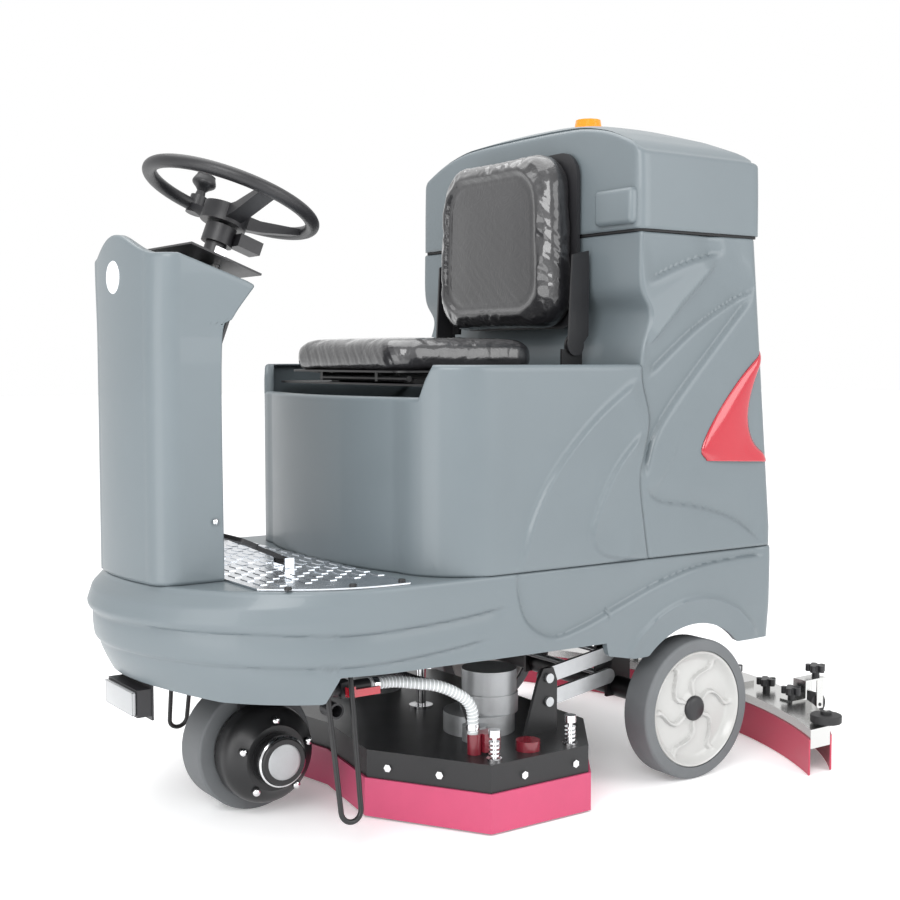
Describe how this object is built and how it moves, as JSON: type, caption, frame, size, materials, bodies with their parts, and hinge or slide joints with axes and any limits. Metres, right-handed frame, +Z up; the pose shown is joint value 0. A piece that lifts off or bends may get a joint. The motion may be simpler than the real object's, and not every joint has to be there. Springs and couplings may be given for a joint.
{
  "type": "ride-on floor scrubber",
  "caption": "Ride-on floor scrubber with steered drive wheel, twin disc brush deck, seat, tank tower and curved rear squeegee.",
  "frame": {"origin": "on the floor, half way between the nose and the squeegee, on the plane of symmetry", "axes": "+Z up, -Y toward the front of the machine, +X toward its left side"},
  "size_m": [1.106, 1.6802, 1.4566],
  "materials": {
    "body_grey": "satin moulded",
    "black_plastic": "satin",
    "black_steel": "satin powder coat",
    "tread_aluminium": "bright rolled",
    "bright_steel": "polished",
    "zinc_steel": "galvanised",
    "stainless": "brushed",
    "cast_alloy": "cast",
    "grey_tyre": "moulded",
    "rim_plastic": "moulded",
    "seat_vinyl": "glossy vinyl",
    "pink_rubber": "smooth",
    "red_blade": "smooth",
    "bristle": "bristle",
    "red_plastic": "gloss",
    "amber": "gloss",
    "clear_hose": "clear with wire",
    "black_rubber": "matt",
    "valve_maroon": "gloss",
    "battery_case": "moulded"
  },
  "bodies": {
    "chassis": {"chassis_frame": "black_steel", "lower_body": "body_grey", "floor_plate": "tread_aluminium", "floor_plate_screws": "black_steel", "column_cover": "body_grey", "column_rear_panel": "black_plastic", "control_panel": "black_plastic", "column_tube": "black_plastic", "steering_chain": "black_steel", "seat_shroud": "body_grey", "batteries": "battery_case", "recovery_tank": "body_grey", "side_fins": "red_plastic", "headlamp": "black_plastic", "side_loops": "black_steel", "water_fittings": "black_plastic", "lift_actuator": "black_steel", "solution_hose": "clear_hose", "motor_conduit": "black_rubber"},
    "steering_wheel": {"steering_wheel": "black_plastic"},
    "horn": {"horn_button": "black_plastic"},
    "spinner": {"spinner_knob": "black_plastic"},
    "lower_shaft": {"lower_steering_shaft": "zinc_steel"},
    "fork": {"steering_fork": "black_steel", "drive_motor": "black_steel"},
    "drive_wheel": {"drive_tyre": "grey_tyre", "drive_hub": "cast_alloy"},
    "rear_wheel_left": {"rear_tyre_left": "grey_tyre", "rear_rim_left": "rim_plastic"},
    "rear_wheel_right": {"rear_tyre_right": "grey_tyre", "rear_rim_right": "rim_plastic"},
    "lower_links": {"lower_links": "zinc_steel"},
    "upper_links": {"upper_links": "zinc_steel"},
    "deck": {"deck_housing": "black_steel", "deck_skirt": "pink_rubber", "deck_bolts": "bright_steel", "brush_motors": "cast_alloy", "lift_rod": "bright_steel", "solenoid_valve": "valve_maroon"},
    "brush_left": {"brush_left": "bristle"},
    "brush_right": {"brush_right": "bristle"},
    "squeegee": {"squeegee_carrier": "zinc_steel", "squeegee_body": "stainless", "squeegee_blades": "red_blade", "squeegee_knobs": "black_plastic"},
    "support_wheels": {"support_wheels": "black_rubber"},
    "bumper_left": {"bumper_roller_left": "black_rubber"},
    "bumper_right": {"bumper_roller_right": "black_rubber"},
    "pedal": {"accelerator_pedal": "black_rubber"},
    "key": {"key_switch": "bright_steel"},
    "stop_button": {"emergency_stop": "red_plastic"},
    "valve_handle": {"valve_handle": "red_plastic"},
    "seat_plate": {"seat_plate": "black_steel"},
    "seat": {"seat_pan": "black_steel", "seat_cushion": "seat_vinyl"},
    "backrest": {"seat_back_shell": "black_plastic", "seat_back_cushion": "seat_vinyl"},
    "lid": {"tank_lid": "body_grey", "beacon": "amber", "vacuum_motor": "black_plastic"}
  },
  "joints": [
    {"name": "fork_steer", "type": "hinge", "parent": "chassis", "child": "fork", "pos_m": [0, -0.534, 0.25], "axis": [0, 0, 1], "range_deg": [-75, 75]},
    {"name": "steering_wheel_turn", "type": "hinge", "parent": "chassis", "child": "steering_wheel", "pos_m": [0, -0.555, 1.214], "axis": [0, 0.3535, 0.9354], "range_deg": [-225, 225]},
    {"name": "lower_shaft_turn", "type": "hinge", "parent": "chassis", "child": "lower_shaft", "pos_m": [0, -0.717, 0.5], "axis": [0, 0, 1], "range_deg": [-225, 225]},
    {"name": "horn_press", "type": "slide", "parent": "steering_wheel", "child": "horn", "axis": [0, -0.3535, -0.9354], "range_m": [0, 0.003], "stiffness_N_per_m": 600},
    {"name": "spinner_turn", "type": "hinge", "parent": "steering_wheel", "child": "spinner", "pos_m": [-0.166, -0.555, 1.214], "axis": [0, 0.3535, 0.9354], "continuous": true},
    {"name": "drive_wheel_spin", "type": "hinge", "parent": "fork", "child": "drive_wheel", "pos_m": [0, -0.534, 0.124], "axis": [1, 0, 0], "continuous": true},
    {"name": "rear_wheel_left_spin", "type": "hinge", "parent": "chassis", "child": "rear_wheel_left", "pos_m": [0.372, 0.332, 0.151], "axis": [1, 0, 0], "continuous": true},
    {"name": "rear_wheel_right_spin", "type": "hinge", "parent": "chassis", "child": "rear_wheel_right", "pos_m": [-0.372, 0.332, 0.151], "axis": [1, 0, 0], "continuous": true},
    {"name": "deck_lift", "type": "hinge", "parent": "chassis", "child": "lower_links", "pos_m": [0, 0.17, 0.225], "axis": [-1, 0, 0], "range_deg": [0, 19.5], "deforming": ["solution_hose", "motor_conduit"]},
    {"name": "upper_link_turn", "type": "hinge", "parent": "chassis", "child": "upper_links", "pos_m": [0, 0.17, 0.274], "axis": [-1, 0, 0], "range_deg": [0, 19.5]},
    {"name": "deck_level", "type": "hinge", "parent": "lower_links", "child": "deck", "pos_m": [0, -0.005, 0.198], "axis": [-1, 0, 0], "range_deg": [-19.5, 0]},
    {"name": "brush_left_spin", "type": "hinge", "parent": "deck", "child": "brush_left", "pos_m": [0.217, -0.11, 0.1], "axis": [0, 0, 1], "continuous": true},
    {"name": "brush_right_spin", "type": "hinge", "parent": "deck", "child": "brush_right", "pos_m": [-0.217, -0.11, 0.1], "axis": [0, 0, 1], "continuous": true},
    {"name": "squeegee_lift", "type": "hinge", "parent": "chassis", "child": "squeegee", "pos_m": [0, 0.532, 0.2], "axis": [1, 0, 0], "range_deg": [0, 12]},
    {"name": "support_wheel_spin", "type": "hinge", "parent": "squeegee", "child": "support_wheels", "pos_m": [0, 0.79261, 0.082], "axis": [1, 0, 0], "continuous": true},
    {"name": "bumper_left_spin", "type": "hinge", "parent": "squeegee", "child": "bumper_left", "pos_m": [0.519, 0.61275, 0.113], "axis": [0, 0, 1], "continuous": true},
    {"name": "bumper_right_spin", "type": "hinge", "parent": "squeegee", "child": "bumper_right", "pos_m": [-0.519, 0.61275, 0.113], "axis": [0, 0, 1], "continuous": true},
    {"name": "pedal_press", "type": "hinge", "parent": "chassis", "child": "pedal", "pos_m": [0.11, -0.505, 0.507], "axis": [1, 0, 0], "range_deg": [0, 14], "stiffness_Nm_per_rad": 3, "springref_deg": -5.73},
    {"name": "key_turn", "type": "hinge", "parent": "chassis", "child": "key", "pos_m": [0.08, -0.62673, 1.08075], "axis": [0, -0.3535, -0.9354], "range_deg": [0, 60]},
    {"name": "emergency_stop_press", "type": "slide", "parent": "chassis", "child": "stop_button", "axis": [0, -0.3535, -0.9354], "range_m": [0, 0.004]},
    {"name": "valve_turn", "type": "hinge", "parent": "chassis", "child": "valve_handle", "pos_m": [0.333, -0.486, 0.29], "axis": [-1, 0, 0], "range_deg": [0, 90]},
    {"name": "seat_tip", "type": "hinge", "parent": "chassis", "child": "seat_plate", "pos_m": [0, -0.292, 0.847], "axis": [1, 0, 0], "range_deg": [0, 30]},
    {"name": "seat_slide", "type": "slide", "parent": "seat_plate", "child": "seat", "axis": [0, -1, 0], "range_m": [0, 0.06]},
    {"name": "backrest_fold", "type": "hinge", "parent": "seat", "child": "backrest", "pos_m": [0, 0.119, 0.929], "axis": [1, 0, 0], "range_deg": [0, 25]},
    {"name": "lid_open", "type": "hinge", "parent": "chassis", "child": "lid", "pos_m": [0, 0.514, 1.165], "axis": [-1, 0, 0], "range_deg": [0, 65]}
  ],
  "couplings": [
    {"joint": "steering_wheel_turn", "follows": "fork_steer", "ratio": 3},
    {"joint": "lower_shaft_turn", "follows": "fork_steer", "ratio": 3},
    {"joint": "upper_link_turn", "follows": "deck_lift", "ratio": 1},
    {"joint": "deck_level", "follows": "deck_lift", "ratio": -1}
  ]
}
